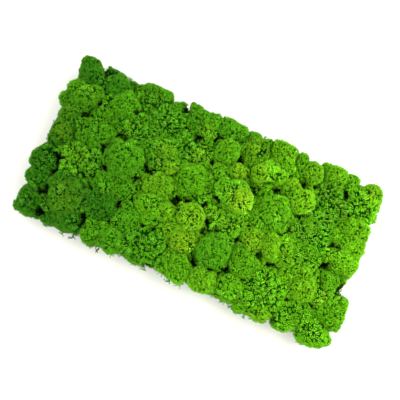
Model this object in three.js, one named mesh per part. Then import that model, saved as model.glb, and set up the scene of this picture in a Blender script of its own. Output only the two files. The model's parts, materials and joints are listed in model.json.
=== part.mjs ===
// A clump of preserved reindeer moss, the star-tipped reindeer lichen, laid out as one cushion.
// It is a carpet of tufts that stand shoulder to shoulder on their cut stalks. Each tuft is one
// solid: stalks at the bottom, a brush of branches over them, one to five round heads above
// that, and a cover of branch tips that stand out with pits between them.
// Millimetres, z up, x along the clump. The flat underside is z = 0.

import * as THREE from 'three';
import { ConvexHull } from 'three/addons/math/ConvexHull.js';

// The clump as a whole
const clumpLength = 392;
const clumpWidth = 198;
const cornerCut = 14; // how far the four upright corners are blunted
const tuftGap = 0.32; // clear space between neighbouring tufts

// One tuft
const heartHeight = 21; // every branch of a tuft points away from its heart
const brushHeight = 39; // between the heads, branches fill the room up to here
const gapDepth = 18; // and up to this much lower in a dark gap
const stalkHeight = 22; // below this there are only stalks
const stalkInset = 7; // how far the brush stays back from the outer sides
const waist = 0.74; // head radius at the ground over its radius at full width
const cutHeight = 6; // stalks that end lower than this are cut level with the ground
const brushLip = 1; // a neighbour hides what lies this much below the top of the brush

// The cover of branch tips, one on each small face of the heads
const headPitch = 6.6; // between the corners of those faces
const sidePitch = 8.4; // the same on the outer sides
const hiddenPitch = 10; // where neighbours or the ground hide it
const tipRise = { dense: 2.6, loose: 4 };
const tipDraw = [0.55, 1.45]; // shortest and longest tip over that rise
const tipAside = [0.7, 1.3]; // how unevenly a tip leans to the corners of its face
const pitDepth = { dense: 0.7, loose: 1.6 };
const sideRoom = 3; // the heads stay this far inside the outer sides, which only tips reach
const crevice = 0.8; // and this far from a neighbour's heads

// Rays from the heart that find the surface
const rayCount = 1500;
const rayStep = 0.5;
const farthest = 60; // no head lies farther from its tuft's heart

// Greens, from the shaded heads to the sunlit yellowish ones
const deep = '#3f8a14';
const leaf = '#4e9c16';
const bright = '#66ae1a';
const lime = '#76ba1c';

// Each row is a tuft: its green, its growth and its heads as [x, y, radius, height of the top].
const tufts = [
  [deep, 'dense', [-177, 89, 11, 50], [-168, 80, 11, 52]],
  [
    leaf, 'dense',
    [-157, 64, 8, 56], [-170, 54, 8, 56], [-163, 58, 11, 54], [-184, 60, 8, 45], [-188, 45, 8, 42],
  ],
  [deep, 'dense', [-139, 80, 13, 52], [-145, 92, 8, 38], [-158, 92, 9, 38]],
  [leaf, 'dense', [-123, 67, 13, 52], [-126, 51, 13, 48], [-137, 43, 8, 48]],
  [leaf, 'loose', [-94, 88, 18, 51]],
  [leaf, 'loose', [-73, 70, 18, 51]],
  [leaf, 'loose', [-100, 48, 10, 47], [-105, 45, 7, 49]],
  [leaf, 'dense', [-129, 28, 12, 50], [-155, 20, 13, 50]],
  [deep, 'dense', [-177, 28, 10, 46], [-175, 9, 12, 48]],
  [leaf, 'dense', [-96, 9, 21, 57]],
  [leaf, 'loose', [-150, -11, 16, 51], [-157, -28, 8, 46], [-126, -22, 13, 47], [-120, -40, 6, 44]],
  [deep, 'dense', [-183, -28, 15, 43], [-186, -48, 9, 37], [-172, -52, 9, 36]],
  [deep, 'dense', [-139, -58, 20, 54], [-158, -71, 9, 50], [-134, -48, 12, 55], [-152, -43, 12, 48]],
  [deep, 'dense', [-126, -74, 14, 52], [-151, -87, 9, 41], [-130, -88, 8, 44]],
  [deep, 'dense', [-178, -72, 11, 48], [-174, -87, 9, 46], [-186, -88, 6, 42]],
  [leaf, 'dense', [-108, -22, 12, 48], [-89, -27, 12, 48]],
  [deep, 'dense', [-92, -48, 14, 49], [-108, -45, 10, 46]],
  [leaf, 'dense', [-73, -77, 10, 53], [-72, -90, 8, 47], [-100, -77, 10, 46], [-99, -89, 9, 43]],
  [leaf, 'dense', [-69, -46, 11, 49], [-72, -59, 7, 45], [-81, -61, 6, 44]],
  [bright, 'dense', [-52, -3, 17, 55]],
  [bright, 'dense', [-50, -27, 16, 53], [-30, -26, 10, 53]],
  [leaf, 'dense', [-58, 36, 13, 50], [-44, 17, 10, 53], [-81, 31, 9, 46], [-70, 16, 8, 44]],
  [leaf, 'loose', [-43, 53, 10, 49], [-47, 68, 8, 48], [-21, 44, 12, 48], [-19, 59, 8, 46]],
  [leaf, 'dense', [-37, 86, 9, 50], [-47, 92, 7, 46], [-23, 86, 10, 50], [-26, 76, 9, 48]],
  [leaf, 'dense', [-5, 88, 12, 51], [9, 91, 8, 46]],
  [bright, 'dense', [5, 64, 13, 57]],
  [leaf, 'dense', [27, 90, 8, 42], [33, 78, 13, 47], [30, 67, 10, 44]],
  [lime, 'dense', [63, 89, 14, 53], [71, 76, 10, 51]],
  [lime, 'dense', [47, 56, 11, 57], [66, 64, 12, 55]],
  [bright, 'dense', [103, 80, 11, 55], [84, 88, 9, 47]],
  [bright, 'dense', [128, 89, 12, 51], [148, 88, 11, 46], [113, 90, 8, 48]],
  [leaf, 'loose', [127, 68, 14, 48], [145, 57, 14, 45]],
  [bright, 'loose', [169, 73, 17, 51], [174, 86, 10, 50]],
  [lime, 'dense', [170, 47, 15, 51], [174, 23, 15, 50], [174, 5, 15, 50]],
  [leaf, 'loose', [119, 20, 16, 49], [140, 12, 12, 46], [135, 42, 12, 46]],
  [lime, 'dense', [104, 46, 14, 57], [86, 57, 10, 53]],
  [bright, 'dense', [74, 20, 13, 53], [84, 31, 12, 54], [87, 10, 10, 48], [57, 39, 8, 44], [63, 12, 9, 46]],
  [bright, 'dense', [20, 24, 12, 59], [40, 18, 14, 59], [33, 22, 18, 60]],
  [bright, 'dense', [-21, 20, 16, 53], [-12, 26, 12, 50]],
  [bright, 'dense', [5, 39, 11, 49], [24, 47, 8, 55], [37, 47, 8, 51]],
  [bright, 'loose', [21, -6, 13, 49], [40, -12, 8, 46], [52, -1, 8, 48]],
  [lime, 'dense', [-3, -20, 15, 58], [0, -49, 14, 53], [-21, -42, 6, 47]],
  [
    leaf, 'loose',
    [-34, -75, 14, 49], [-47, -72, 10, 46], [-42, -89, 8, 44], [-41, -58, 7, 47], [-23, -57, 7, 47],
  ],
  [bright, 'dense', [6, -76, 13, 55], [10, -88, 10, 53], [-10, -72, 8, 47]],
  [bright, 'dense', [36, -81, 16, 55]],
  [leaf, 'dense', [35, -45, 19, 57]],
  [bright, 'dense', [71, -43, 15, 53]],
  [bright, 'dense', [66, -74, 13, 53]],
  [bright, 'loose', [100, -64, 22, 51], [123, -72, 10, 51]],
  [bright, 'dense', [111, -87, 13, 50], [87, -91, 8, 45]],
  [lime, 'dense', [92, -16, 11, 55], [90, -6, 7, 53], [71, -16, 12, 47]],
  [bright, 'dense', [113, -16, 12, 47], [104, -2, 8, 49], [134, -3, 12, 47]],
  [lime, 'dense', [143, -42, 14, 55], [133, -28, 9, 53], [145, -24, 6, 50], [118, -44, 9, 46]],
  [bright, 'dense', [166, -23, 11, 51], [166, -48, 11, 46]],
  [bright, 'dense', [184, -45, 14, 49], [187, -58, 14, 50]],
  [bright, 'loose', [150, -72, 15, 49], [137, -87, 12, 50]],
  [bright, 'loose', [174, -87, 18, 51]],
].map(([green, growth, ...heads]) => ({ green, growth, heads, ...middleOf(heads) }));

// Dark gaps that open between the heads, as [x, y, radius].
const gaps = [
  [-59, 90, 10], [47, 88, 9], [22, 62, 7], [-33, 64, 8], [-27, -12, 9], [16, -17, 7], [15, -31, 7],
  [18, -65, 7], [56, -58, 8], [84, -28, 9], [97, -33, 8], [-112, -74, 10], [148, 73, 8], [98, 64, 7],
  [72, 46, 8], [108, 29, 7], [42, 37, 7], [15, 13, 6], [156, 15, 8], [157, -8, 8], [188, -27, 12],
  [122, -90, 9], [-163, -60, 9], [-164, -22, 9], [-160, -82, 8], [-37, -50, 8], [-125, 12, 8],
  [-107, 30, 8], [-158, 37, 9], [-152, 92, 10], [-124, -4, 7], [-64, 6, 7], [125, 34, 7],
];

// The same draws come out on every run.
function seededRandom(seed) {
  let state = seed;
  return () => {
    state = (state + 0x6d2b79f5) | 0;
    let t = Math.imul(state ^ (state >>> 15), 1 | state);
    t = (t + Math.imul(t ^ (t >>> 7), 61 | t)) ^ t;
    return ((t ^ (t >>> 14)) >>> 0) / 4294967296;
  };
}

// A tuft's middle is the mean of its heads by area, and its radius is that of all their area.
function middleOf(heads) {
  const area = heads.reduce((sum, [, , r]) => sum + r * r, 0);
  const x = heads.reduce((sum, [hx, , r]) => sum + hx * r * r, 0) / area;
  const y = heads.reduce((sum, [, hy, r]) => sum + hy * r * r, 0) / area;
  return { x, y, radius: Math.sqrt(area) };
}

// The upright planes that part a tuft from its neighbours. A tuft with wider heads takes more
// of the room between, so its cell is that of a power diagram.
function neighbourWalls(tuft) {
  return tufts.filter((other) => other !== tuft).map((other) => {
    const apart = new THREE.Vector3(other.x - tuft.x, other.y - tuft.y, 0);
    const distance = apart.length();
    const share = (distance ** 2 + tuft.radius ** 2 - other.radius ** 2) / (2 * distance);
    return { normal: apart.normalize(), reach: share - tuftGap / 2 };
  });
}

// The flat outer sides of the clump, with blunt corners.
function outerWalls(tuft) {
  const walls = [];
  for (const [nx, ny] of [[1, 0], [-1, 0], [0, 1], [0, -1], [1, 1], [1, -1], [-1, 1], [-1, -1]]) {
    const normal = new THREE.Vector3(nx, ny, 0);
    const half = Math.abs(nx) * clumpLength / 2 + Math.abs(ny) * clumpWidth / 2;
    const cut = nx !== 0 && ny !== 0 ? cornerCut : 0;
    const scale = normal.length();
    walls.push({ normal: normal.normalize(), reach: (half - cut - nx * tuft.x - ny * tuft.y) / scale });
  }
  return walls;
}

// A draw between two ends.
function between([low, high], random) {
  return low + (high - low) * random();
}

// Distance along a ray from the tuft's heart to the nearest of the walls.
function wallDistance(walls, ray) {
  return walls.reduce((least, { normal, reach }) => {
    const closing = normal.dot(ray);
    return closing > 1e-6 ? Math.min(least, reach / closing) : least;
  }, Infinity);
}

// A head is a ball on a stem that narrows to its waist at the ground.
function insideHead([hx, hy, r, top], x, y, z) {
  const middle = top - r;
  const across = Math.hypot(x - hx, y - hy);
  if (z > middle) return Math.hypot(across, z - middle) < r;
  return across < r * (waist + (1 - waist) * (z / middle) ** 2);
}

// The brush of branches between the heads, sunk where a gap opens.
function brushTop(x, y) {
  const sunk = gaps.map(([gx, gy, radius]) => 1 - (Math.hypot(x - gx, y - gy) / radius) ** 2);
  return brushHeight - gapDepth * Math.max(0, ...sunk);
}

function insideTuft(tuft, x, y, z) {
  if (tuft.heads.some((head) => insideHead(head, x, y, z))) return true;
  const roomX = clumpLength / 2 - stalkInset - Math.abs(x);
  const roomY = clumpWidth / 2 - stalkInset - Math.abs(y);
  return Math.min(roomX, roomY) > 0 && z < brushTop(x, y);
}

// Distance from the heart to the smooth surface of heads and stalks.
function bodyDistance(tuft, ray) {
  let distance = farthest;
  while (distance > rayStep) {
    const x = tuft.x + ray.x * distance;
    const y = tuft.y + ray.y * distance;
    const z = heartHeight + ray.z * distance;
    if (insideTuft(tuft, x, y, z)) break;
    distance -= rayStep;
  }
  return distance;
}

// Evenly spread directions, from which the cover picks its corners.
function spreadRays(count) {
  const goldenAngle = Math.PI * (3 - Math.sqrt(5));
  return Array.from({ length: count }, (_, i) => {
    const z = 1 - (2 * i + 1) / count;
    const flat = Math.sqrt(1 - z * z);
    return new THREE.Vector3(flat * Math.cos(i * goldenAngle), flat * Math.sin(i * goldenAngle), z);
  });
}

// One ray from the heart: how far the body reaches on it, and how far a tip may.
function measureRay(tuft, walls, ray) {
  const body = bodyDistance(tuft, ray);
  const toNeighbour = wallDistance(walls.inner, ray);
  const toSide = wallDistance(walls.outer, ray);
  const toGround = ray.z < 0 ? -heartHeight / ray.z : Infinity;
  const limit = Math.min(toNeighbour, toSide, toGround);
  const reach = Math.min(body, limit);
  const height = heartHeight + ray.z * reach;
  const brush = brushTop(tuft.x + ray.x * reach, tuft.y + ray.y * reach);
  const onGround = toGround <= Math.min(body, toNeighbour, toSide);
  const pressed = toNeighbour <= body && height < brush - brushLip;
  const hidden = onGround || pressed;
  const room = hidden ? 0 : crevice;
  const distance = Math.min(body, toNeighbour - room, toSide - (hidden ? 0 : sideRoom), toGround);
  return { distance, limit, height, hidden };
}

// Corners of the cover in a drawn order, each kept if it stands clear of those before it.
function coverCorners(tuft, walls, random) {
  const candidates = spreadRays(rayCount).map((ray) => {
    const corner = measureRay(tuft, walls, ray);
    const place = ray.clone().multiplyScalar(corner.distance);
    const cut = corner.height < cutHeight;
    if (cut) place.z = -heartHeight;
    const hidden = corner.hidden || cut;
    const pitch = hidden ? hiddenPitch : corner.height > stalkHeight ? headPitch : sidePitch;
    return { place, ray: place.clone().normalize(), hidden, pitch, order: random() };
  });
  candidates.sort((a, b) => a.order - b.order);
  const kept = [];
  for (const corner of candidates) {
    const free = kept.every((other) => {
      return corner.place.distanceTo(other.place) > Math.min(corner.pitch, other.pitch);
    });
    if (free) kept.push(corner);
  }
  return kept;
}

// The three corners of each face, found as the hull of their rays. A surface that meets every
// ray from the heart once can't cross itself.
function coverFaces(corners) {
  const cornerOf = new Map(corners.map((corner) => [corner.ray, corner]));
  const hull = new ConvexHull().setFromPoints(corners.map(({ ray }) => ray));
  return hull.faces.map(({ edge }) => [edge, edge.next, edge.prev].map((e) => cornerOf.get(e.head().point)));
}

// A branch tip over the middle of a face, drawn a little to one side and long or short.
function tipOver(face, tuft, walls, random) {
  const weights = face.map(() => between(tipAside, random));
  const ray = new THREE.Vector3();
  face.forEach(({ ray: cornerRay }, i) => ray.addScaledVector(cornerRay, weights[i]));
  const { distance, limit } = measureRay(tuft, walls, ray.normalize());
  const rise = tipRise[tuft.growth] * between(tipDraw, random);
  return ray.multiplyScalar(Math.min(distance + rise, limit));
}

// The closed surface of a tuft.
function tuftGeometry(tuft, random) {
  const walls = { inner: neighbourWalls(tuft), outer: outerWalls(tuft) };
  const corners = coverCorners(tuft, walls, random);
  for (const { hidden, place, ray } of corners) {
    if (!hidden) place.addScaledVector(ray, -between([0, 2 * pitDepth[tuft.growth]], random));
  }
  const triangles = [];
  for (const face of coverFaces(corners)) {
    const [a, b, c] = face.map(({ place }) => place);
    if (face.filter(({ hidden }) => hidden).length > 1) {
      triangles.push(a, b, c);
      continue;
    }
    const tip = tipOver(face, tuft, walls, random);
    triangles.push(a, b, tip, b, c, tip, c, a, tip);
  }
  return new THREE.BufferGeometry().setFromPoints(triangles);
}

function makeTuft(tuft, index) {
  const geometry = tuftGeometry(tuft, seededRandom(index + 1));
  geometry.computeVertexNormals();
  const material = new THREE.MeshStandardMaterial({ color: tuft.green, roughness: 0.9, metalness: 0 });
  const mesh = new THREE.Mesh(geometry, material);
  mesh.name = 'tuft_' + String(index + 1).padStart(2, '0');
  mesh.position.set(tuft.x, tuft.y, heartHeight);
  return mesh;
}

const clump = new THREE.Group();
tufts.forEach((tuft, index) => clump.add(makeTuft(tuft, index)));

// The origin is the middle of the underside.
const extent = new THREE.Box3().setFromObject(clump);
const middle = extent.getCenter(new THREE.Vector3());
clump.position.set(-middle.x, -middle.y, -extent.min.z);

export default clump;
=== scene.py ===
# Preserved reindeer lichen: florets of branch tips grown over the tufts of the frame
import json
import math

import bpy
import numpy as np
from mathutils import Matrix, Vector
from mathutils.bvhtree import BVHTree


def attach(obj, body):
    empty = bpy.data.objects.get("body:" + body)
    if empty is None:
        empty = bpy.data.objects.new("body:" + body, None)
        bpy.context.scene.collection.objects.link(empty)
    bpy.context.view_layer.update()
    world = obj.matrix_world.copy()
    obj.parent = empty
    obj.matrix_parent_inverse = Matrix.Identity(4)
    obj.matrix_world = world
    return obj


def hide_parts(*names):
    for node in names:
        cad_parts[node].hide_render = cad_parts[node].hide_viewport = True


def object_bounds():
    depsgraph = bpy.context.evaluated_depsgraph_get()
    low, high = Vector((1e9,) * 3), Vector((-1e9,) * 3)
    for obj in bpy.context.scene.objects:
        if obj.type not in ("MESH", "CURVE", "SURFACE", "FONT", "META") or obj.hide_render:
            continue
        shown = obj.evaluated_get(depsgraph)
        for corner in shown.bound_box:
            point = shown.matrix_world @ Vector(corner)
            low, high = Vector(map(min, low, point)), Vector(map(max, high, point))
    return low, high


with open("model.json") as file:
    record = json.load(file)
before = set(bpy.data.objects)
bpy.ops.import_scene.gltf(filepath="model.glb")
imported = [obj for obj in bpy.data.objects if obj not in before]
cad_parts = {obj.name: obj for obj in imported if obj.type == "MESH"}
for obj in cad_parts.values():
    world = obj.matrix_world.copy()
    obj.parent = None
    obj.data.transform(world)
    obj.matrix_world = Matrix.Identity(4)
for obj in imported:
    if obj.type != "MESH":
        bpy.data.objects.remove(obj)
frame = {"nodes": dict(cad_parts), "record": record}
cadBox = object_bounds()
mm = 0.001
rng = np.random.default_rng(57)

print("frame loaded:", len(frame["nodes"]), "tufts")

# Camera, as a hand would hold it over a table

camera = {
    "elevation": 85,  # degrees above the horizon, leaning to the -y side
    "roll": 24.1,  # the clump lies 24.1 degrees down to the right
    "distance": 650 * mm,
    "frameWidth": 442 * mm,  # what the picture spans at the height of the heads
    "aim": (0, 1.5 * mm, 50 * mm),
    "aside": 1.8 * mm,  # the clump's middle is this far right of the picture's
    "sensor": 36,
    "clipStart": 10 * mm,
}


def makeCamera(c):
    lean = math.radians(90 - c["elevation"])
    back = Vector((0, -math.sin(lean), math.cos(lean)))
    along = Vector((1, 0, 0))
    across = back.cross(along)
    roll = math.radians(c["roll"])
    right = along * math.cos(roll) + across * math.sin(roll)
    up = across * math.cos(roll) - along * math.sin(roll)
    data = bpy.data.cameras.new("camera")
    data.sensor_width = c["sensor"]
    data.lens = c["sensor"] * c["distance"] / c["frameWidth"]
    data.clip_start = c["clipStart"]
    cam = bpy.data.objects.new("camera", data)
    place = Vector(c["aim"]) + back * c["distance"] - right * c["aside"]
    turn = Matrix((right, up, back)).transposed().to_4x4()
    cam.matrix_world = Matrix.Translation(place) @ turn
    bpy.context.scene.collection.objects.link(cam)
    bpy.context.scene.camera = cam


makeCamera(camera)

# Studio: white paper floor, a soft lamp from the right, a weaker one from the left and even light
# all round

studio = {
    "skyStrength": 1.32,
    "skyColour": "#fbfbf6",
    "key": {"place": (0.50, 0.30, 0.85), "size": 0.6, "watts": 7.5, "colour": "#fff8ea"},
    "fill": {"place": (-0.6, -0.4, 1.0), "size": 1.2, "watts": 3, "colour": "#f4f7ff"},
    "floorSize": 6.0,
    "floorColour": "#f2f1ee",
    "floorRoughness": 0.9,
    "floorGrain": 2.5 * mm,
    "floorTooth": 0.05,
}


def toLinear(hexColour, alpha=1.0):
    channels = [int(hexColour[i:i + 2], 16) / 255 for i in (1, 3, 5)]
    linear = [c / 12.92 if c <= 0.04045 else ((c + 0.055) / 1.055) ** 2.4 for c in channels]
    return (*linear, alpha)


def addNode(tree, kind, sockets, **settings):
    node = tree.nodes.new(kind)
    for name, value in settings.items():
        setattr(node, name, value)
    for name, value in sockets.items():
        if isinstance(value, bpy.types.NodeSocket):
            tree.links.new(value, node.inputs[name])
        else:
            node.inputs[name].default_value = value
    return node


def newMaterial(name):
    material = bpy.data.materials.new(name)
    material.use_nodes = True
    material.node_tree.nodes.clear()
    return material, material.node_tree


def paperFloor(s):
    # Matt white paper: diffuse, no gloss, a hint of tooth
    material, tree = newMaterial("matt white paper")
    grain = addNode(tree, "ShaderNodeTexNoise", {"Scale": 1 / s["floorGrain"], "Detail": 2.0})
    bump = addNode(tree, "ShaderNodeBump", {
        "Strength": s["floorTooth"], "Height": grain.outputs["Fac"]})
    skin = addNode(tree, "ShaderNodeBsdfPrincipled", {
        "Base Color": toLinear(s["floorColour"]), "Roughness": s["floorRoughness"],
        "Normal": bump.outputs[0]})
    addNode(tree, "ShaderNodeOutputMaterial", {"Surface": skin.outputs[0]})
    half = s["floorSize"] / 2
    corners = [(-half, -half, 0), (half, -half, 0), (half, half, 0), (-half, half, 0)]
    mesh = bpy.data.meshes.new("floor")
    mesh.from_pydata(corners, [], [(0, 1, 2, 3)])
    mesh.materials.append(material)
    floor = bpy.data.objects.new("floor", mesh)
    bpy.context.scene.collection.objects.link(floor)


def areaLamp(name, look):
    data = bpy.data.lights.new(name, "AREA")
    data.energy = look["watts"]
    data.size = look["size"]
    data.color = toLinear(look["colour"])[:3]
    lamp = bpy.data.objects.new(name, data)
    lamp.location = look["place"]
    lamp.rotation_euler = (-lamp.location).to_track_quat("-Z", "Y").to_euler()
    bpy.context.scene.collection.objects.link(lamp)


def makeStudio(s):
    paperFloor(s)
    areaLamp("key", s["key"])
    areaLamp("fill", s["fill"])
    world = bpy.data.worlds.new("soft studio")
    world.use_nodes = True
    sky = world.node_tree.nodes["Background"]
    sky.inputs["Color"].default_value = toLinear(s["skyColour"])
    sky.inputs["Strength"].default_value = s["skyStrength"]
    bpy.context.scene.world = world
    bpy.context.scene.view_settings.view_transform = "Standard"


makeStudio(studio)
print("camera and studio set")

# Dyed lichen. It is dry, matt and springy: light soaks a little way into the thin branches, so
# the tips glow. The pits between them fall off to a deep, near-black green, partly the lichen's own
# darker base and partly painted shade.

# Each green's pit colour is near black: partly the dark base of the branches, partly painted shade in
# the pits
dyes = {
    "lichen_deep": {"name": "preserved lichen, dyed leaf green", "tip": "#3ca00e", "pit": "#002600"},
    "lichen_leaf": {"name": "preserved lichen, dyed moss green", "tip": "#60c40e", "pit": "#002a00"},
    "lichen_bright": {
        "name": "preserved lichen, dyed spring green", "tip": "#75d70e", "pit": "#002e00"},
    "lichen_lime": {"name": "preserved lichen, dyed lime green", "tip": "#82df10", "pit": "#003200"},
}

lichen = {
    "sunnyTip": "#a2dc1c",  # heads that took less of the dye
    "dryTip": "#a3913f",  # dead branchlets that took almost none
    "paleEnd": "#c4de84",  # the very ends of the branches are paler: partly their own colour, partly a painted highlight
    "paleShare": 0.3,
    "paleFrom": 0.8,  # of the way from the pit to the tip
    "stalk": "#6d7838",  # near the cut the dye fades to a dull olive
    "stalkHeight": 18 * mm,
    "stalkShare": 0.8,
    "roughness": 0.85,
    "gloss": 0.04,
    "soak": 0.12,  # share of light that enters and comes out again
    "soakDepth": 0.9 * mm,
    "soakColour": (0.6, 1.0, 0.2),  # green goes deepest
    "grain": 0.9 * mm,  # mottling of the dye on one branch
    "mottling": (0.88, 1.1),
    "mottlingBand": (0.3, 0.7),  # what the noise mostly spans
    "wrinkle": 0.35 * mm,
    "wrinkleHeight": 0.2 * mm,
    "wrinkleStrength": 0.35,
}


def lichenMaterial(dye, look):
    material, tree = newMaterial(dye["name"])
    reach = addNode(tree, "ShaderNodeAttribute", {}, attribute_name="reach")
    # The tint is each floret's own tone with painted shade multiplied in: darker low down, in the gaps
    # and toward -x
    tint = addNode(tree, "ShaderNodeAttribute", {}, attribute_name="tint")
    sunny = addNode(tree, "ShaderNodeAttribute", {}, attribute_name="sunny")
    dry = addNode(tree, "ShaderNodeAttribute", {}, attribute_name="dry")
    place = addNode(tree, "ShaderNodeTexCoord", {})
    tip = addNode(tree, "ShaderNodeMix", {
        0: sunny.outputs["Fac"], 6: toLinear(dye["tip"]), 7: toLinear(look["sunnyTip"])},
        data_type="RGBA")
    tip = addNode(tree, "ShaderNodeMix", {
        0: dry.outputs["Fac"], 6: tip.outputs[2], 7: toLinear(look["dryTip"])}, data_type="RGBA")
    # Along each branch from the pit's near-black green, partly painted shade, to the tip's colour
    dyed = addNode(tree, "ShaderNodeMix", {
        0: reach.outputs["Fac"], 6: toLinear(dye["pit"]), 7: tip.outputs[2]}, data_type="RGBA")
    # The pale ends: partly the branches' own paler colour, partly a painted highlight
    ends = addNode(tree, "ShaderNodeMapRange", {
        "Value": reach.outputs["Fac"], "From Min": look["paleFrom"], "From Max": 1.0,
        "To Min": 0.0, "To Max": look["paleShare"]})
    dyed = addNode(tree, "ShaderNodeMix", {
        0: ends.outputs[0], 6: dyed.outputs[2], 7: toLinear(look["paleEnd"])}, data_type="RGBA")
    # Mottling, about one patch to each branch
    mottle = addNode(tree, "ShaderNodeTexNoise", {
        "Vector": place.outputs["Object"], "Scale": 1 / look["grain"], "Detail": 2.0})
    shade = addNode(tree, "ShaderNodeMapRange", {
        "Value": mottle.outputs["Fac"],
        "From Min": look["mottlingBand"][0], "From Max": look["mottlingBand"][1],
        "To Min": look["mottling"][0], "To Max": look["mottling"][1]})
    lighter = addNode(tree, "ShaderNodeMath", {
        0: shade.outputs[0], 1: tint.outputs["Fac"]}, operation="MULTIPLY")
    varied = addNode(tree, "ShaderNodeHueSaturation", {
        "Color": dyed.outputs[2], "Value": lighter.outputs[0]})
    # The dye fades down the stalks
    height = addNode(tree, "ShaderNodeSeparateXYZ", {0: place.outputs["Object"]})
    fade = addNode(tree, "ShaderNodeMapRange", {
        "Value": height.outputs["Z"], "From Min": 0.0, "From Max": look["stalkHeight"],
        "To Min": look["stalkShare"], "To Max": 0.0})
    colour = addNode(tree, "ShaderNodeMix", {
        0: fade.outputs[0], 6: varied.outputs[0], 7: toLinear(look["stalk"])}, data_type="RGBA")
    wrinkles = addNode(tree, "ShaderNodeTexNoise", {
        "Vector": place.outputs["Object"], "Scale": 1 / look["wrinkle"], "Detail": 1.0})
    bump = addNode(tree, "ShaderNodeBump", {
        "Strength": look["wrinkleStrength"], "Distance": look["wrinkleHeight"],
        "Height": wrinkles.outputs["Fac"]})
    skin = addNode(tree, "ShaderNodeBsdfPrincipled", {
        "Base Color": colour.outputs[2], "Roughness": look["roughness"],
        "Normal": bump.outputs[0],
        "Subsurface Weight": look["soak"], "Subsurface Scale": look["soakDepth"],
        "Subsurface Radius": look["soakColour"], "Specular IOR Level": look["gloss"]})
    addNode(tree, "ShaderNodeOutputMaterial", {"Surface": skin.outputs[0]})
    return material


materials = {slot: lichenMaterial(dye, lichen) for slot, dye in dyes.items()}
print("dyed lichen ready in", len(materials), "greens")

# Tufts as they grow, dense or loose, and their heads: x, y, radius and height of the top in
# millimetres, then for a head that took less of the dye, how much less

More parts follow.
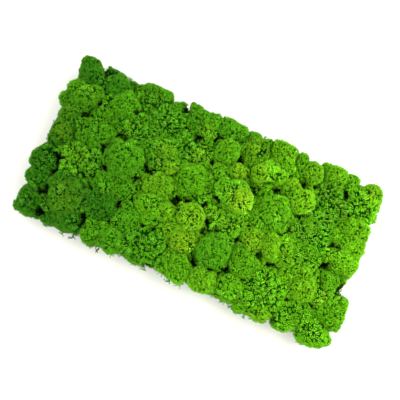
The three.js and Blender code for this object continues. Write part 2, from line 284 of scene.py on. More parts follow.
tufts = [
    ("dense", (-177, 89, 11, 50), (-168, 80, 11, 52)),
    ("dense", (-157, 64, 8, 56, 0.1), (-170, 54, 8, 56, 0.1), (-163, 58, 11, 54, 0.1),
     (-184, 60, 8, 45), (-188, 45, 8, 42)),
    ("dense", (-139, 80, 13, 52), (-145, 92, 8, 38), (-158, 92, 9, 38), (-126, 88, 8, 36)),
    ("dense", (-123, 67, 13, 52), (-126, 51, 13, 48), (-137, 43, 8, 48)),
    ("loose", (-94, 88, 18, 51), (-116, 88, 8, 38)),
    ("loose", (-73, 70, 18, 51), (-62, 93, 13, 42), (-76, 92, 10, 44)),
    ("loose", (-100, 48, 10, 47), (-105, 45, 7, 49, 0.2)),
    ("dense", (-129, 28, 12, 50), (-155, 20, 13, 50)),
    ("dense", (-177, 28, 10, 46, 0.2), (-175, 9, 12, 48, 0.3)),
    ("dense", (-96, 9, 21, 57)),
    ("loose", (-150, -11, 16, 51, 0.2), (-157, -28, 8, 46), (-126, -22, 13, 47), (-120, -40, 6, 44)),
    ("dense", (-183, -28, 15, 43), (-186, -48, 9, 37), (-172, -52, 9, 36)),
    ("dense", (-139, -58, 20, 54, 0.2), (-158, -71, 9, 50), (-134, -48, 12, 55),
     (-152, -43, 12, 48)),
    ("dense", (-126, -74, 14, 52), (-151, -87, 9, 41), (-130, -88, 8, 44)),
    ("dense", (-178, -72, 11, 48), (-174, -87, 9, 46), (-186, -88, 6, 42)),
    ("dense", (-108, -22, 12, 48), (-89, -27, 12, 48)),
    ("dense", (-92, -48, 14, 49), (-108, -45, 10, 46)),
    ("dense", (-73, -77, 10, 53), (-72, -90, 8, 47), (-100, -77, 10, 46), (-99, -89, 9, 43)),
    ("dense", (-69, -46, 11, 49), (-72, -59, 7, 45), (-81, -61, 6, 44)),
    ("dense", (-52, -3, 17, 55, 0.25)),
    ("dense", (-50, -27, 16, 53), (-30, -26, 10, 53, 0.3)),
    ("dense", (-58, 36, 13, 50, 0.3), (-44, 17, 10, 53, 0.5), (-81, 31, 9, 46), (-70, 16, 8, 44)),
    ("loose", (-43, 53, 10, 49), (-47, 68, 8, 48), (-21, 44, 12, 48, 0.4), (-19, 59, 8, 46)),
    ("dense", (-37, 86, 9, 50), (-47, 92, 7, 46), (-23, 86, 10, 50), (-26, 76, 9, 48, 0.3)),
    ("dense", (-5, 88, 12, 51), (9, 91, 8, 46)),
    ("dense", (5, 64, 13, 57)),
    ("dense", (27, 90, 8, 42), (33, 78, 13, 47, 0.45), (30, 67, 10, 44, 0.3), (42, 90, 7, 34)),
    ("dense", (63, 89, 14, 53), (71, 76, 10, 51)),
    ("dense", (47, 56, 11, 57, 0.4), (66, 64, 12, 55)),
    ("dense", (103, 80, 11, 55, 0.3), (84, 88, 9, 47)),
    ("dense", (128, 89, 12, 51, 0.2), (148, 88, 11, 46), (113, 90, 8, 48)),
    ("loose", (127, 68, 14, 48, 0.2), (145, 57, 14, 45, 0.2)),
    ("loose", (169, 73, 17, 51), (174, 86, 10, 50, 0.5)),
    ("dense", (170, 47, 15, 51), (174, 23, 15, 50), (174, 5, 15, 50)),
    ("loose", (119, 20, 16, 49, 0.2), (140, 12, 12, 46), (135, 42, 12, 46, 0.2)),
    ("dense", (104, 46, 14, 57, 0.2), (86, 57, 10, 53, 0.2)),
    ("dense", (74, 20, 13, 53), (84, 31, 12, 54), (87, 10, 10, 48), (57, 39, 8, 44),
     (63, 12, 9, 46)),
    ("dense", (20, 24, 12, 59), (40, 18, 14, 59, 0.8), (33, 22, 18, 60, 0.1)),
    ("dense", (-21, 20, 16, 53), (-12, 26, 12, 50)),
    ("dense", (5, 39, 11, 49, 0.1), (24, 47, 8, 55, 0.6), (37, 47, 8, 51, 0.8)),
    ("loose", (21, -6, 13, 49, 0.2), (40, -12, 8, 46, 0.3), (52, -1, 8, 48, 0.3)),
    ("dense", (-3, -20, 15, 58, 0.5), (0, -49, 14, 53, 0.7), (-21, -42, 6, 47, 0.4)),
    ("loose", (-34, -75, 14, 49), (-47, -72, 10, 46), (-42, -89, 8, 44),
     (-41, -58, 7, 47), (-23, -57, 7, 47)),
    ("dense", (6, -76, 13, 55), (10, -88, 10, 53), (-10, -72, 8, 47)),
    ("dense", (36, -81, 16, 55, 0.2)),
    ("dense", (35, -45, 19, 57)),
    ("dense", (71, -43, 15, 53)),
    ("dense", (66, -74, 13, 53)),
    ("loose", (100, -64, 22, 51), (123, -72, 10, 51)),
    ("dense", (111, -87, 13, 50, 0.3), (87, -91, 8, 45)),
    ("dense", (92, -16, 11, 55, 0.2), (90, -6, 7, 53, 0.2), (71, -16, 12, 47, 0.5)),
    ("dense", (113, -16, 12, 47, 0.3), (104, -2, 8, 49, 0.3), (134, -3, 12, 47)),
    ("dense", (143, -42, 14, 55, 0.2), (133, -28, 9, 53, 0.2), (145, -24, 6, 50),
     (118, -44, 9, 46)),
    ("dense", (166, -23, 11, 51), (166, -48, 11, 46, 0.5)),
    ("dense", (184, -45, 14, 49), (187, -58, 14, 50)),
    ("loose", (150, -72, 15, 49), (137, -87, 12, 50)),
    ("loose", (174, -87, 18, 51)),
]

# Dark gaps that open between the heads, where florets and core are also painted darker as shade: x, y
# and radius in millimetres

gaps = [
    (-59, 90, 10), (47, 88, 9), (22, 62, 6), (-33, 64, 7), (-27, -12, 8), (16, -17, 7), (15, -31, 6),
    (18, -65, 7), (56, -58, 6), (84, -28, 6), (97, -33, 5), (-112, -74, 9), (148, 73, 6), (98, 64, 6),
    (72, 46, 6), (108, 29, 5), (45, 37, 7), (16, 13, 7), (156, 15, 6), (157, -8, 7), (184, -26, 13),
    (122, -90, 9), (-163, -60, 9), (-164, -19, 9), (-160, -82, 8), (-37, -50, 5), (-125, 12, 6),
    (-107, 30, 6), (-158, 37, 6), (-152, 92, 10), (-64, 6, 8),
    (-76, -6, 6), (50, 32, 5), (-14, -5, 6), (-107, 63, 5), (-164, -37, 7), (-150, 55, 5),
    (-112, -10, 5), (-83, -42, 5), (-8, 34, 5), (-72, 12, 5), (28, -20, 5), (39, -64, 5),
    (-27, -90, 6), (183, 36, 5), (-128, -28, 5), (-80, 86, 5),
]

crown = 46 * mm  # the heads' tips stand above this
gapEdge = {
    "corners": 3,  # a gap is a little three-cornered
    "ragged": 0.25,
    "rise": 2 * mm,  # gaps end this far above the crown
    "band": 8 * mm,
    "side": 3 * mm,  # and this near the outer sides
}


def gapAt(points):
    # 1 in the middle of a gap and 0 at its edge
    depth = np.zeros(len(points))
    for x, y, radius in gaps:
        aside, along = points[:, 0] / mm - x, points[:, 1] / mm - y
        corners = np.sin(gapEdge["corners"] * np.arctan2(along, aside) + x + y)
        ragged = 1 + gapEdge["ragged"] * corners
        depth = np.maximum(depth, 1 - (np.hypot(aside, along) / radius / ragged) ** 2)
    return depth


def gapDepth(points):
    # The same, less on the heads round it, and none on the outer sides
    depth = gapAt(points) * np.clip((crown + gapEdge["rise"] - points[:, 2]) / gapEdge["band"], 0, 1)
    return depth * np.clip(sideRoom(points) / gapEdge["side"] - 1, 0, 1)


# A branch is a slim tube that ends in short cones; its reach runs from 0 at the pit to 1 at
# the tip

askew = (0.31, 0.93, 0.17)  # a direction that no branch takes


def about(draw, span, count=None):
    # The first value, and up to the second more
    return span[0] + span[1] * draw.random(count)


def ringRound(point, ahead, radius, sides):
    spin = np.arange(sides) * 2 * math.pi / sides
    ahead = ahead / np.linalg.norm(ahead)
    aside = np.cross(ahead, askew)
    aside = aside / np.linalg.norm(aside)
    third = np.cross(ahead, aside)
    return point + radius * (np.outer(np.cos(spin), aside) + np.outer(np.sin(spin), third))


def cone(base, end, radius, reach):
    verts = np.vstack([ringRound(base, end - base, radius, 3), end])
    tris = np.array([(0, 1, 3), (1, 2, 3), (2, 0, 3)])
    return verts, tris, np.array([reach[0]] * 3 + [reach[1]])


def tube(points, radii, reach, sides=3, closed=True):
    points = np.asarray(points, float)
    verts = []
    for i, point in enumerate(points):
        ahead = points[min(i + 1, len(points) - 1)] - points[max(i - 1, 0)]
        verts.append(ringRound(point, ahead, radii[i], sides))
    tris = []
    for i in range(len(points) - 1):
        for k in range(sides):
            a, b = i * sides + k, i * sides + (k + 1) % sides
            tris += [(a, b, b + sides), (a, b + sides, a + sides)]
    if closed:
        last = (len(points) - 1) * sides
        tris += [(last, last + k, last + k + 1) for k in range(1, sides - 1)]
    return np.vstack(verts), np.array(tris), np.repeat(reach, sides)


def joined(parts):
    verts, tris, reach, start = [], [], [], 0
    for v, t, r in parts:
        verts.append(v)
        tris.append(t + start)
        reach.append(r)
        start += len(v)
    return np.vstack(verts), np.vstack(tris), np.concatenate(reach)


# Florets: branches in a whorl, ending in blunt tips, as the star-tipped lichen grows. On dense
# heads only their short stars show, on loose ones the whole branches. Millimetres; the tips are
# near z = 0 and the root is below.

floret = {
    "dense": {
        "branches": (4, 6), "mouth": 0.35, "depth": 1.5, "spread": 1.5, "vary": (0.75, 0.5),
        "thick": 0.58, "ripple": 0.5, "reach": (0.5, 1.0)},
    "loose": {
        "branches": (3, 4), "mouth": 0.5, "depth": 7.0, "spread": 1.15, "vary": (0.8, 0.35),
        "thick": 0.48, "forkDepth": 0.8, "forkVary": 0.6,
        "tips": (2, 3), "tipLength": 1.1, "tipVary": (0.75, 0.5), "tipFan": (1.2, 0.5),
        "tipLift": (0.3, 0.9), "sunk": 0.2, "tipReach": (0.7, 1.0), "forkReach": 0.75,
        "taper": (0.9, 0.85, 0.95)},  # at the root, the fork and the feet of the tips
    "variants": 12,
}


def whorl(look, draw):
    # Directions of the branches, spaced a little unevenly
    count = int(draw.integers(look["branches"][0], look["branches"][1] + 1))
    turn = draw.random() * 2 * math.pi
    uneven = 0.5
    return [turn + 2 * math.pi * (i + uneven * (draw.random() - 0.5)) / count for i in range(count)]


def makeStar(look, draw):
    parts = []
    for angle in whorl(look, draw):
        out = np.array((math.cos(angle), math.sin(angle), 0))
        root = out * look["mouth"] + (0, 0, -look["depth"])
        end = out * look["spread"] * about(draw, look["vary"])
        end = end + (0, 0, look["ripple"] * (draw.random() - 0.5))
        parts.append(cone(root, end, look["thick"], look["reach"]))
    return joined(parts)


def makeFloret(look, draw, plain=False):
    parts = []
    for angle in whorl(look, draw):
        out = np.array((math.cos(angle), math.sin(angle), 0))
        spread = look["spread"] * about(draw, look["vary"])
        root = out * look["mouth"] + (0, 0, -look["depth"])
        fork = out * spread + (0, 0, -look["forkDepth"] + look["forkVary"] * (draw.random() - 0.5))
        radii = [look["thick"] * share for share in look["taper"]]
        parts.append(tube([root, fork], radii[:2], [0, look["forkReach"]], closed=plain))
        if plain:
            continue
        tips = int(draw.integers(look["tips"][0], look["tips"][1] + 1))
        for k in range(tips):
            side = angle + (k - (tips - 1) / 2) * about(draw, look["tipFan"])
            way = np.array((math.cos(side), math.sin(side), about(draw, look["tipLift"])))
            end = fork + way / np.linalg.norm(way) * look["tipLength"] * about(draw, look["tipVary"])
            parts.append(cone(fork - way * look["sunk"], end, radii[2], look["tipReach"]))
    return joined(parts)


florets = {
    "dense": [makeStar(floret["dense"], rng) for _ in range(floret["variants"])],
    "loose": [makeFloret(floret["loose"], rng) for _ in range(floret["variants"])],
    "hidden": [makeFloret(floret["loose"], rng, plain=True) for _ in range(floret["variants"])],
}

# Stalks: the stems under the heads, tangled as they grew, and their cut ends, seen from below

stalk = {
    "height": 24,  # millimetres, as are the next five
    "thick": 0.75,
    "sway": 2.6,
    "twigLength": 3.4,
    "twigThick": (0.5, 0.42),
    "twigTip": 1.7,
    "levels": 5,
    "taper": 0.35,
    "reach": (0.25, 0.2),  # at the foot, and how much more at the top
    "twigs": 8,
    "twigFrom": (0.15, 0.85),  # where along the stalk they stand
    "twigVary": (0.6, 0.6),
    "twigLift": (0.3, 0.6),
    "twigFork": 0.8,  # radians to either side
    "twigForkAt": 0.75,  # of its length
    "twigTipLift": 0.6,
    "twigReach": (0.35, 0.65),  # at its foot and its fork
    "twigTipReach": (0.65, 0.9),
    "variants": 10,
    "pitch": 3.1 * mm,
    "inset": 3.0 * mm,
    "low": (3 * mm, 16 * mm),  # the band of the form that they stand before
    "steep": 0.6,
    "feet": 6 * mm,  # how unevenly they are cut
    "lean": 0.16,  # how far, in radians, they lean at random
    "leanOut": 0.1,
    "sizes": (0.5, 0.85, 0.15, 1.15),  # least, middle, spread and most
    "tint": (0.85, 0.1),
    "cutPitch": 4.2 * mm,
    "cutRadius": (1.05, 1.0),  # millimetres, as is the length
    "cutLength": 4,
    "cutReach": (0.3, 0.6),
    "cutHeight": 0.3 * mm,  # what lies lower is the underside
    "cutLean": 0.02,
    "cutSizes": (0.5, 1.0, 0.25, 1.6),
    "cutTint": (1.0, 0.12),
}


def makeStalk(look, draw):
    levels = np.linspace(0, 1, look["levels"])
    sway = np.cumsum(draw.normal(0, look["sway"] / 3, (look["levels"], 2)), axis=0)
    path = np.column_stack([sway - sway[0], levels * look["height"]])
    low, more = look["reach"]
    parts = [tube(path, look["thick"] * (1 - look["taper"] * levels), low + more * levels)]
    for _ in range(look["twigs"]):
        level = about(draw, look["twigFrom"])
        start = np.array([np.interp(level, levels, path[:, axis]) for axis in range(3)])
        angle = draw.random() * 2 * math.pi
        length = look["twigLength"] * about(draw, look["twigVary"])
        out = np.array((math.cos(angle), math.sin(angle), about(draw, look["twigLift"])))
        fork = start + out * length * look["twigForkAt"]
        parts.append(tube([start, fork], look["twigThick"], look["twigReach"], closed=False))
        for side in (-1, 1):
            turn = angle + side * look["twigFork"]
            way = np.array((math.cos(turn), math.sin(turn), look["twigTipLift"]))
            end = fork + way * look["twigTip"]
            parts.append(cone(fork, end, look["twigThick"][1], look["twigTipReach"]))
    return joined(parts)


stalks = [makeStalk(stalk, rng) for _ in range(stalk["variants"])]

# The smooth form of a tuft, read from its CAD solid: the solid less its raised tips, which
# each tell where one knob of florets stands


def solidOf(node):
    mesh = frame["nodes"][node].data
    mesh.calc_loop_triangles()
    places = np.empty(len(mesh.vertices) * 3)
    mesh.vertices.foreach_get("co", places)
    corners = np.empty(len(mesh.loop_triangles) * 3, np.int32)
    mesh.loop_triangles.foreach_get("vertices", corners)
    places, same = np.unique(places.reshape(-1, 3).round(6), axis=0, return_inverse=True)
    tris = same.ravel()[corners].reshape(-1, 3)
    whole = (tris != np.roll(tris, 1, axis=1)).all(axis=1)
    return places, tris[whole]


def withoutTips(places, tris):
    valence = np.bincount(tris.ravel(), minlength=len(places))
    fans = {}
    kept = []
    for tri in tris:
        tip = [k for k in range(3) if valence[tri[k]] == 3]
        if tip:
            k = tip[0]
            fans.setdefault(tri[k], {})[tri[(k + 1) % 3]] = tri[(k + 2) % 3]
        else:
            kept.append(tri)
    for fan in fans.values():
        a = next(iter(fan))
        kept.append((a, fan[a], fan[fan[a]]))
    used, kept = np.unique(np.array(kept), return_inverse=True)
    return places[used], kept.reshape(-1, 3), places[sorted(fans)]


def subdivided(places, tris):
    # Each triangle becomes four, and their corners are averaged with those around: a smooth
    # surface through the middle of the faceted one
    sides = np.sort(tris[:, [0, 1, 1, 2, 2, 0]].reshape(-1, 2), axis=1)
    edges, which = np.unique(sides, axis=0, return_inverse=True)
    which = which.reshape(-1, 3)
    opposite = np.zeros((len(edges), 3))
    for k in range(3):
        np.add.at(opposite, which[:, k], places[tris[:, (k + 2) % 3]])
    middles = (places[edges[:, 0]] + places[edges[:, 1]]) * 3 / 8 + opposite / 8
    count = np.bincount(edges.ravel(), minlength=len(places))
    around = np.zeros_like(places)
    np.add.at(around, edges[:, 0], places[edges[:, 1]])
    np.add.at(around, edges[:, 1], places[edges[:, 0]])
    weight = 3 / (8 * count)
    weight[count == 3] = 3 / 16
    softened = places * (1 - count * weight)[:, None] + around * weight[:, None]
    m = which + len(places)
    a, b, c = tris.T
    finer = np.vstack([
        np.column_stack([a, m[:, 0], m[:, 2]]), np.column_stack([m[:, 0], b, m[:, 1]]),
        np.column_stack([m[:, 2], m[:, 1], c]), m])
    return np.vstack([softened, middles]), finer


def unit(vectors):
    return vectors / np.maximum(np.linalg.norm(vectors, axis=-1, keepdims=True), 1e-12)


def cornerNormals(places, tris):
    a, b, c = (places[tris[:, k]] for k in range(3))
    faces = np.cross(b - a, c - a)
    normals = np.zeros_like(places)
    for k in range(3):
        np.add.at(normals, tris[:, k], faces)
    return unit(normals), np.linalg.norm(faces, axis=1) / 2


rounding = {
    "fullness": 3.0,  # 2 would be a ball; more has a flatter top and steeper sides
    "pull": 2.5 * mm,  # how far a point of the form sinks to the head under it
    "push": 2.5 * mm,  # how far it rises to one over it
    "bulge": 4.5 * mm,  # and how far on the outer sides, which the solids cut flat
    "near": 7.0 * mm,  # heads farther away than this leave it alone
    "girth": 0.95,  # the form's radius over the head's, which the florets make up
    "waist": 0.74,  # head radius at the ground over its full radius
    "soften": 0.35,  # share of the form's own slope in that of a head
    "brush": 38 * mm,  # between the heads nothing lower than this moves
    "side": 11 * mm,  # except on the outer sides
    "ledge": 34 * mm,  # where nothing lower than this is pulled in
    # How far the heads lean out at -x and +x, -y and +y; less than 0 is in
    "swell": ((-1.0 * mm, 3.0 * mm), (-5.0 * mm, 3.0 * mm)),
    "swellDepth": 25 * mm,
    "swellFrom": 20 * mm,
    "swellBand": 15 * mm,
    "taper": 5.0 * mm,  # the foot of the clump is this much narrower than its crown
    "taperTop": 24 * mm,
    "fill": 0.68,  # share by which the valleys between the heads rise to the crown
    "fillFrom": 20 * mm,
    "fillMost": 12 * mm,
    "dip": 3.0 * mm,  # and how far they sink in the gaps
    "notches": ((-61, 13), (47, 10)),  # in the +y side: x and half width in millimetres
    "notchFrom": 76 * mm,
    "notchBand": 10 * mm,
    "notchOut": 8.0 * mm,  # the low branches in them reach out and up by this much
    "notchUp": 12.0 * mm,
    "notchFoot": 15 * mm,
}


def sideRoom(points):
    return (np.array(cadBox[1])[:2] - np.abs(points[:, :2])).min(axis=1)


def onHeads(places, normals, heads):
    # The form's facets are as coarse as a small head, so the heads are rounded here
    away = np.empty((len(heads), len(places), 3))
    gap = np.empty((len(heads), len(places)))
    power = rounding["fullness"]
    for i, (x, y, radius, top, *_) in enumerate(heads):
        middle = (top - radius) * mm
        away[i] = places - (x * mm, y * mm, middle)
        below = np.clip(places[:, 2] / middle, 0, 1)
        away[i, :, 2] = np.maximum(away[i, :, 2], 0)
        waist = rounding["waist"]
        narrowed = rounding["girth"] * (waist + (1 - waist) * below ** 2)
        aside = np.hypot(away[i, :, 0], away[i, :, 1])
        gap[i] = (aside ** power + away[i, :, 2] ** power) ** (1 / power) - radius * mm * narrowed
    head = gap.argmin(axis=0)
    every = np.arange(len(places))
    gap, away = gap[head, every], unit(away[head, every])
    reaches = np.column_stack([np.hypot(away[:, 0], away[:, 1])] * 2 + [away[:, 2]])
    steep = unit(away * reaches ** (power - 2))
    outside = sideRoom(places) < rounding["side"]
    near = (np.abs(gap) < rounding["near"]) & ((places[:, 2] > rounding["brush"]) | outside)
    most = np.where(outside, rounding["bulge"], rounding["push"])
    least = np.where(outside & (places[:, 2] < rounding["ledge"]), 0, -rounding["pull"])
    shift = np.where(near, np.clip(-gap, least, most), 0)
    facing = np.where(near[:, None], unit(steep + rounding["soften"] * normals), normals)
    return places + away * shift[:, None], facing, head


def swollen(places):
    upper = np.clip((places[:, 2] - rounding["swellFrom"]) / rounding["swellBand"], 0, 1)
    lower = np.clip(1 - places[:, 2] / rounding["taperTop"], 0, 1)
    for axis, ends in enumerate(rounding["swell"]):
        for way, most in zip((-1, 1), ends):
            room = cadBox[1][axis] - way * places[:, axis]
            near = np.clip(1 - room / rounding["swellDepth"], 0, 1)
            places[:, axis] += way * (most * upper - rounding["taper"] * lower) * near
    return places


def filled(places):
    # Between the heads the branches rise nearly as high as these, but for the gaps
    low = np.clip(crown - places[:, 2], 0, rounding["fillMost"]) * (places[:, 2] > rounding["fillFrom"])
    inside = np.clip(sideRoom(places) / rounding["side"] - 1, 0, 1)
    places[:, 2] += rounding["fill"] * low * inside * np.clip(1 - 2 * gapAt(places), 0, 1)
    places[:, 2] -= rounding["dip"] * gapAt(places) * inside * np.clip(places[:, 2] / crown, 0, 1)
    return places


def outInNotches(places):
    # In the notches the lichen is low, but it still reaches the side
    for x, width in rounding["notches"]:
        share = np.clip(1 - ((places[:, 0] / mm - x) / width) ** 2, 0, 1)
        share *= np.clip((places[:, 1] - rounding["notchFrom"]) / rounding["notchBand"], 0, 1)
        low = np.clip((crown - places[:, 2]) / rounding["notchBand"], 0, 1)
        above = np.clip(places[:, 2] / rounding["notchFoot"], 0, 1)
        places[:, 1] += rounding["notchOut"] * share * low
        places[:, 2] += rounding["notchUp"] * share * low * above
    return places


forms = {}
for node, (growth, *heads) in zip(sorted(frame["nodes"]), tufts):
    places, tris, knobs = withoutTips(*solidOf(node))
    places, tris = subdivided(places, tris)
    places, facing, head = onHeads(places, cornerNormals(places, tris)[0], heads)
    places = outInNotches(filled(swollen(places)))
    normals, areas = cornerNormals(places, tris)
    forms[node] = {
        "places": places, "tris": tris, "normals": unit(normals + facing), "areas": areas,
        "head": head, "knobs": knobs, "growth": growth, "heads": heads}

print("smooth forms read:", sum(len(f["tris"]) for f in forms.values()), "triangles")

# What a point of the surface can see decides how finely it is grown, and, as painted light, a little
# how light its florets are

allPlaces = np.vstack([f["places"] for f in forms.values()])
starts = np.cumsum([0] + [len(f["places"]) for f in forms.values()])
allTris = np.vstack([f["tris"] + start for f, start in zip(forms.values(), starts)])
everyTuft = BVHTree.FromPolygons(allPlaces.tolist(), allTris.tolist())

lookouts = unit(np.array([
    (0, 0, 1), (0.5, 0, 1), (-0.5, 0, 1), (0, 0.5, 1), (0, -0.5, 1),
    (1, 0, 0.25), (-1, 0, 0.25), (0, 1, 0.25), (0, -1, 0.25)]))


sightFrom = 1.8  # millimetres over the surface
sightBack = -0.1  # how far back over its shoulder a point looks


def openness(place, normal):
    start = Vector(place + normal * sightFrom * mm)
    free = 0
    for way in lookouts:
        if way @ normal > sightBack and everyTuft.ray_cast(start, Vector(way))[0] is None:
            free += 1
    return free


# Growing a tuft

growing = {
    "pitch": {"dense": 1.45 * mm, "loose": 2.6 * mm},
    "lowest": 3 * mm,  # florets stand above this
    "underneath": -0.6,  # and not where the form faces farther down than this
    "thin": 0.2,  # share of them that is left at the foot
    "gapShare": 0.8,  # and share that is missing in the middle of a gap
    "lean": 0.14,  # how far they lean at random
    "sizes": (0.7, 1.0, 0.15, 1.35),  # least, middle, spread and most
    "lift": 1.0 * mm,  # floret tips over the smooth form
    "knobLift": 0.7 * mm,  # and over the places of the solid's own tips
    "knobReach": 3.3 * mm,
    "pitPitch": 3.3 * mm,  # pinholes between the stars of a dense head
    "pitRadius": (0.5 * mm, 1.0 * mm),
    "lobePitch": 9.5 * mm,  # heads swell in lobes about this far apart
    "lobeRadius": 6.5 * mm,
    "lobeHeight": {"dense": 1.6 * mm, "loose": 2.0 * mm},
    "lobeVary": (0.5, 1.0),
    "lobeTilt": 0.38,
    "lobeRise": (12 * mm, 0.35),  # lobes are lower, down to this share, within this of the foot
    "looseShare": {"dense": 0.08, "loose": 0.8},  # of the lobes of a dense and of a loose tuft
    "looseValley": 0.5,  # and so much more in the valleys
    "budHeight": 6.0 * mm,  # young heads that swell in the valleys between grown ones
    "budVary": (0.4, 0.8),
    "valley": (36 * mm, 47 * mm),
    "valleyBand": 6 * mm,
    "valleySlope": 0.2,
    "coreInset": {"dense": 0.9 * mm, "loose": 3.6 * mm},
    "brush": 22 * mm,  # florets cover everything above this, and thin out below it
    "foot": 8 * mm,
    "shadeBelow": 0.85,  # painted shade: how light a floret at the foot is
    "shadeWithin": 1.05,  # and, as painted light, one between the heads that sees little of the room
    "shadeDeep": 0.3,  # and painted shade for one down in a gap
    "sights": (1, 4),  # free lookouts of a point between heads, and of one that is clear of them
    "coreShade": (0.9, 0.6),  # the core's, and the painted shade that makes it darker in a gap
    # the core takes nearly the pits' dark colour: a dark layer painted as the shade under the florets
    "coreReach": 0.1,
    "light": {"dense": 0.9, "loose": 1.38},  # bare branch tips took the dye lighter than velvety heads
    "shadeSpread": 0.06,  # how much heads differ
    "shadeLimits": (0.85, 1.15),
    "grain": 0.18,  # and the florets of one head
    "grainLimits": (0.6, 1.4),
    "ripple": 0.4 * mm,
    "paintedShadeDrift": 0.11,  # painted shade and light: the clump is painted darker toward its -x end and lighter toward +x
    "paler": 0.25,  # heads that took less of the dye are this much lighter
    "palerReach": 1.5,  # radii of the head, over which it fades out
    "uneven": 0.1,  # and single florets by up to this
    "footThickness": 1.2 * mm,  # the core ends this far over the cut ends' feet
    "tangle": 2.2 * mm,  # how far the cores reach into each other between the tufts
    "tangleTop": 34 * mm,
    "touch": (0.05, 3 * mm),  # where a neighbour counts as lying against a tuft
    "tipRoom": -0.5 * mm,  # floret tips stay this far inside the box's sides; less than 0 is out
    "coreRoom": 1.5 * mm,  # and the core this far
    "overhang": 3.0 * mm,  # what a branch may stand out of the box
    "dryShare": 0.0002,
    "dryness": 0.7,
}


def spread(form, pitch, draw):
    # Points by area, each kept if it stands clear of those before it
    tries = 9
    count = int(tries * form["areas"].sum() / pitch ** 2)
    share = form["areas"] / form["areas"].sum()
    pick = draw.choice(len(share), count, p=share)
    u, v = draw.random((2, count, 1))
    over = u + v > 1
    u, v = np.where(over, 1 - u, u), np.where(over, 1 - v, v)
    corners = form["tris"][pick]
    places = [form["places"][corners[:, k]] for k in range(3)]
    normals = [form["normals"][corners[:, k]] for k in range(3)]
    points = places[0] * (1 - u - v) + places[1] * u + places[2] * v
    ways = unit(normals[0] * (1 - u - v) + normals[1] * u + normals[2] * v)
    kept = []
    grid = {}
    for i, (x, y, z) in enumerate(np.floor(points / pitch).astype(int).tolist()):
        near = [
            j for a in (x - 1, x, x + 1) for b in (y - 1, y, y + 1) for c in (z - 1, z, z + 1)
            for j in grid.get((a, b, c), ())]
        if not near or ((points[near] - points[i]) ** 2).sum(axis=1).min() > pitch ** 2:
            kept.append(i)
            grid.setdefault((x, y, z), []).append(i)
    return points[kept], ways[kept], form["head"][corners[kept, 0]]


def turned(axes, spins):
    # Rotations that stand z on each axis after a spin about it
    aside = unit(np.cross(np.where(np.abs(axes[:, 2:]) < 0.9, (0.0, 0.0, 1.0), (1.0, 0.0, 0.0)), axes))
    third = np.cross(axes, aside)
    c, s = np.cos(spins)[:, None], np.sin(spins)[:, None]
    return np.stack([aside * c + third * s, third * c - aside * s, axes], axis=2)


def sizesOf(count, span, draw):
    least, middle, vary, most = span
    return np.clip(draw.normal(middle, vary, count), least, most)


def plainTints(count, tint, draw):
    return np.column_stack([draw.normal(*tint, count), np.zeros(count), np.zeros(count)])


def planted(shape, places, turns, sizes, tints):
    verts, tris, reach = shape
    grown = np.einsum("nij,vj->nvi", turns, verts * mm) * sizes[:, None, None] + places[:, None]
    faces = tris[None] + (np.arange(len(places)) * len(verts))[:, None, None]
    marks = np.repeat(tints[:, None], len(verts), axis=1)
    reach = np.tile(reach, len(places))
    return grown.reshape(-1, 3), faces.reshape(-1, 3), reach, marks.reshape(-1, 3)


def fromNearest(points, normals, centres):
    # Each point's nearest centre, and its offset from it along the surface
    away = points[:, None] - centres[None]
    nearest = (away ** 2).sum(axis=2).argmin(axis=1)
    offset = away[np.arange(len(points)), nearest]
    return offset - normals * (offset * normals).sum(axis=1, keepdims=True), nearest


def lobesOf(form, draw):
    # Lobes swell a head a little, and buds fill the valleys a good deal
    centres, normals, _ = spread(form, growing["lobePitch"], draw)
    low, high = growing["valley"]
    within = (centres[:, 2] > low) & (normals[:, 2] > growing["valleySlope"])
    within &= sideRoom(centres) > rounding["side"]
    valley = within * np.clip((high - centres[:, 2]) / growing["valleyBand"], 0, 1)
    valley = valley * (1 - gapDepth(centres))
    count = len(centres)
    heights = growing["lobeHeight"][form["growth"]] * about(draw, growing["lobeVary"], count)
    buds = growing["budHeight"] * valley * about(draw, growing["budVary"], count)
    share = growing["looseShare"][form["growth"]] + growing["looseValley"] * valley
    loose = draw.random(count) < share
    return {"centres": centres, "heights": heights, "buds": buds, "loose": loose}


def onLobes(points, normals, lobes):
    # How far a point is raised by its lobe, its offset from the lobe's middle, and its growth
    offset, nearest = fromNearest(points, normals, lobes["centres"])
    across = np.linalg.norm(offset, axis=1) / growing["lobeRadius"]
    band, least = growing["lobeRise"]
    upper = np.clip((points[:, 2] - growing["foot"]) / band, least, 1)
    buds = lobes["buds"][nearest] * np.clip(normals[:, 2], 0, 1) ** 2
    heights = lobes["heights"][nearest] * upper + buds
    rise = heights * (1 - np.clip(across, 0, 1) ** 2) * (1 - gapDepth(points))
    loose = lobes["loose"][nearest] & (sideRoom(points) > rounding["side"])
    return rise[:, None], offset, loose


def offPits(points, form, draw):
    pits = spread(form, growing["pitPitch"], draw)[0]
    away = np.linalg.norm(points[:, None] - pits[None], axis=2)
    return (away > draw.uniform(*growing["pitRadius"], len(pits))).all(axis=1)


def floretPlaces(form, growth, lobes, draw):
    points, normals, head = spread(form, growing["pitch"][growth], draw)
    kept = (points[:, 2] > growing["lowest"]) & (normals[:, 2] > growing["underneath"])
    kept &= onLobes(points, normals, lobes)[2] == (growth == "loose")
    kept &= draw.random(len(points)) > growing["gapShare"] * gapDepth(points)
    if growth == "dense":
        kept &= offPits(points, form, draw)
    points, normals, head = points[kept], normals[kept], head[kept]
    free = np.array([openness(p, n) for p, n in zip(points, normals)], int)
    grown = np.clip((points[:, 2] - growing["foot"]) / (growing["brush"] - growing["foot"]), 0, 1)
    share = growing["thin"] + (1 - growing["thin"]) * grown
    seen = (free > 0) & (draw.random(len(points)) < share)
    return points[seen], normals[seen], head[seen], free[seen]


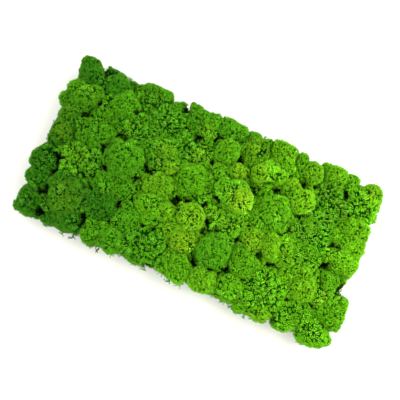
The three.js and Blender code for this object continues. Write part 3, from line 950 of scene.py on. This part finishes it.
def floretTints(form, growth, tops, head, free, shades, draw):
    # Painted shade: florets low at the foot or deep in a gap are painted darker, the clump darker
    # toward -x and lighter toward +x, and florets that see little of the room a little lighter. Those
    # of a head that took less dye are lighter and yellower, and a few are dry
    count = len(tops)
    lessDye = np.zeros(count)
    for x, y, radius, _, *less in form["heads"]:
        across = np.hypot(tops[:, 0] / mm - x, tops[:, 1] / mm - y) / radius
        lessDye = np.maximum(lessDye, sum(less) * np.clip(growing["palerReach"] - across, 0, 1))
    high = np.clip((tops[:, 2] - growing["foot"]) / (crown - growing["foot"]), 0, 1)
    between, clear = growing["sights"]
    clear = np.clip((free - between) / (clear - between), 0, 1)
    tints = np.zeros((count, 3))
    tints[:, 0] = shades[head]
    tints[:, 0] *= np.clip(draw.normal(1.0, growing["grain"], count), *growing["grainLimits"])
    tints[:, 0] *= growing["shadeBelow"] + (1 - growing["shadeBelow"]) * high
    tints[:, 0] *= growing["shadeWithin"] + (1 - growing["shadeWithin"]) * clear
    tints[:, 0] *= 1 + (growing["shadeDeep"] - 1) * gapDepth(tops)
    tints[:, 0] *= growing["light"][growth]
    # Painted shade and light along x: darker toward -x, lighter toward +x; and heads that took less dye
    # are lighter
    tints[:, 0] *= 1 + growing["paintedShadeDrift"] * tops[:, 0] / cadBox[1][0] + growing["paler"] * lessDye
    tints[:, 1] = np.clip(lessDye + growing["uneven"] * draw.random(count), 0, 1)
    tints[:, 2] = growing["dryness"] * (draw.random(count) < growing["dryShare"])
    return tints


def growFlorets(form, lobes, draw):
    shades = draw.normal(1.0, growing["shadeSpread"], len(form["heads"]))
    shades = np.clip(shades, *growing["shadeLimits"])
    parts = []
    for growth in ("dense", "loose"):
        points, normals, head, free = floretPlaces(form, growth, lobes, draw)
        count = len(points)
        if not count:
            continue
        # Florets fan out over each lobe, with a crease between neighbours
        rise, offset, _ = onLobes(points, normals, lobes)
        toKnob = fromNearest(points, normals, form["knobs"])[0]
        toKnob = np.linalg.norm(toKnob, axis=1, keepdims=True)
        rise += growing["knobLift"] * np.clip(1 - toKnob / growing["knobReach"], 0, 1) + growing["lift"]
        fan = growing["lobeTilt"] * offset / growing["lobeRadius"]
        axes = unit(normals + fan + draw.normal(0, growing["lean"], (count, 3)))
        tops = points + normals * (rise + draw.normal(0, growing["ripple"], (count, 1)))
        for axis in (0, 1):
            most = cadBox[1][axis] - growing["tipRoom"]
            tops[:, axis] = np.clip(tops[:, axis], -most, most)
        tints = floretTints(form, growth, tops, head, free, shades, draw)
        sizes = sizesOf(count, growing["sizes"], draw)
        turns = turned(axes, draw.random(count) * 2 * math.pi)
        kind = draw.integers(0, floret["variants"], count)
        for look in ("dense",) if growth == "dense" else ("loose", "hidden"):
            for k, shape in enumerate(florets[look]):
                mine = (kind == k) & ((growth == "dense") | ((free < 2) == (look == "hidden")))
                if mine.any():
                    parts.append(planted(shape, tops[mine], turns[mine], sizes[mine], tints[mine]))
    return parts


def growStalks(form, draw):
    points, normals, _ = spread(form, stalk["pitch"], draw)
    low = (points[:, 2] < stalk["low"][1]) & (points[:, 2] > stalk["low"][0])
    low &= np.abs(normals[:, 2]) < stalk["steep"]
    points, normals = points[low], normals[low]
    seen = np.array([openness(p, n) > 1 for p, n in zip(points, normals)], bool)
    points, normals = points[seen], normals[seen]
    count = len(points)
    if not count:
        return []
    feet = points * (1, 1, 0) - normals * (1, 1, 0) * stalk["inset"]
    feet[:, 2] = draw.random(count) * stalk["feet"]
    lean = draw.normal(0, stalk["lean"], (count, 3)) * (1, 1, 0)
    axes = unit(np.array((0, 0, 1.0)) + normals * (stalk["leanOut"], stalk["leanOut"], 0) + lean)
    turns = turned(axes, draw.random(count) * 2 * math.pi)
    sizes = sizesOf(count, stalk["sizes"], draw)
    kind = draw.integers(0, stalk["variants"], count)
    tints = plainTints(count, stalk["tint"], draw)
    parts = []
    for k, shape in enumerate(stalks):
        mine = kind == k
        if mine.any():
            parts.append(planted(shape, feet[mine], turns[mine], sizes[mine], tints[mine]))
    return parts


def cutEnds(form, draw):
    points, _, _ = spread(form, stalk["cutPitch"], draw)
    points = points[points[:, 2] < stalk["cutHeight"]]
    count = len(points)
    if not count:
        return []
    top = (0, 0, stalk["cutLength"])
    end = tube([top, (0, 0, 0)], stalk["cutRadius"], stalk["cutReach"], sides=5)
    axes = unit(np.array((0, 0, 1.0)) + draw.normal(0, stalk["cutLean"], points.shape))
    turns = turned(axes, draw.random(count) * 2 * math.pi)
    sizes = sizesOf(count, stalk["cutSizes"], draw)
    tints = plainTints(count, stalk["cutTint"], draw)
    return [planted(end, points * (1, 1, 0), turns, sizes, tints)]


def pressed(place, normal):
    # Whether a neighbouring tuft lies against the surface here
    off, within = growing["touch"]
    start = Vector(place + normal * off * mm)
    return everyTuft.ray_cast(start, Vector(normal), within)[0] is not None


def coreOf(form, lobes, draw):
    # What the florets grow from, painted dark as the shade under them, and darker in the gaps. Between
    # the heads it keeps its width, so no floor shows there
    places, normals = form["places"], form["normals"]
    free = np.array([not pressed(p, n) for p, n in zip(places, normals)])[:, None]
    rise, _, loose = onLobes(places, normals, lobes)
    rise -= np.where(loose, growing["coreInset"]["loose"], growing["coreInset"]["dense"])[:, None]
    outside = (sideRoom(places) < rounding["side"])[:, None]
    tangled = ~outside & (places[:, 2:] < growing["tangleTop"]) & (places[:, 2:] > growing["foot"])
    places = places + np.where(outside, normals, normals * (0, 0, 1)) * rise * free
    places += normals * (1, 1, 0) * growing["tangle"] * tangled
    most = np.array(cadBox[1])[:2] - growing["coreRoom"]
    places[:, :2] = np.clip(places[:, :2], -most, most)
    places[:, 2] = np.maximum(places[:, 2], growing["footThickness"])
    marks = np.zeros((len(places), 3))
    shade, darker = growing["coreShade"]
    marks[:, 0] = shade - darker * np.clip(2 * gapDepth(places), 0, 1)
    return places, form["tris"], growing["coreReach"] * draw.random(len(places)), marks


def buildPiece(name, parts, material):
    verts = np.vstack([p[0] for p in parts])
    starts = np.cumsum([0] + [len(p[0]) for p in parts])
    tris = np.vstack([p[1] + start for p, start in zip(parts, starts)])
    out = np.array((growing["overhang"], growing["overhang"], growing["overhang"] / 2))
    lowest = np.array((cadBox[0][0], cadBox[0][1], out[2])) - out
    verts = np.clip(verts, lowest, np.array(cadBox[1]) + out)
    mesh = bpy.data.meshes.new(name)
    mesh.vertices.add(len(verts))
    mesh.vertices.foreach_set("co", verts.ravel())
    mesh.loops.add(len(tris) * 3)
    mesh.loops.foreach_set("vertex_index", tris.ravel())
    mesh.polygons.add(len(tris))
    mesh.polygons.foreach_set("loop_start", np.arange(len(tris)) * 3)
    mesh.polygons.foreach_set("loop_total", np.full(len(tris), 3))
    mesh.polygons.foreach_set("use_smooth", np.ones(len(tris), bool))
    marks = np.vstack([p[3] for p in parts])
    values = {
        "reach": np.concatenate([p[2] for p in parts]),
        "tint": marks[:, 0], "sunny": marks[:, 1], "dry": marks[:, 2]}
    for label, value in values.items():
        marked = mesh.attributes.new(label, "FLOAT", "POINT")
        marked.data.foreach_set("value", value.astype(np.float32))
    mesh.materials.append(material)
    mesh.update()
    mesh.validate()
    piece = bpy.data.objects.new(name, mesh)
    bpy.context.scene.collection.objects.link(piece)
    return piece, len(tris)


slotOf = {s["node"]: s["material_slot"] for s in frame["record"]["subparts"]}
totals = {"core": 0, "florets": 0, "stalks": 0, "cut ends": 0}
for number, (node, form) in enumerate(forms.items(), 1):
    draw = np.random.default_rng(number)
    lobes = lobesOf(form, draw)
    grown = {
        "core": [coreOf(form, lobes, draw)], "florets": growFlorets(form, lobes, draw),
        "stalks": growStalks(form, draw), "cut ends": cutEnds(form, draw)}
    for kind, parts in grown.items():
        totals[kind] += sum(len(p[1]) for p in parts)
    piece, count = buildPiece("grown_" + node, sum(grown.values(), []), materials[slotOf[node]])
    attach(piece, "root")
    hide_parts(node)
print("tufts grown, triangles:", totals, "in all", sum(totals.values()))
